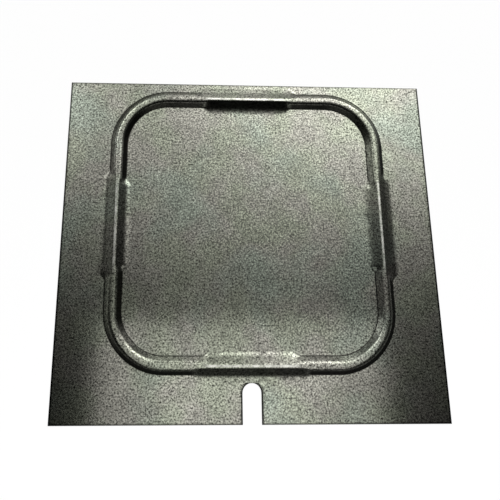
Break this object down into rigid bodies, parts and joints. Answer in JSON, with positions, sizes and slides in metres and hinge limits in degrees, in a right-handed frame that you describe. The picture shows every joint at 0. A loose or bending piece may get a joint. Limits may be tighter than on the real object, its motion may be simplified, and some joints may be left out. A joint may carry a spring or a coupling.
{
  "type": "cover plate",
  "caption": "Flat pressed steel cover plate with a hollow rounded-square stiffening bead and an open stud slot in its front edge.",
  "frame": {"origin": "centre of the sheet's outline, on its flat underside", "axes": "+X along the longer edge, +Y away from the slotted front edge, +Z out of the face that the bead stands on"},
  "size_m": [0.2, 0.18, 0.0037],
  "materials": {
    "plate_steel": "satin"
  },
  "bodies": {
    "root": {"cover_plate": "plate_steel"}
  },
  "joints": []
}
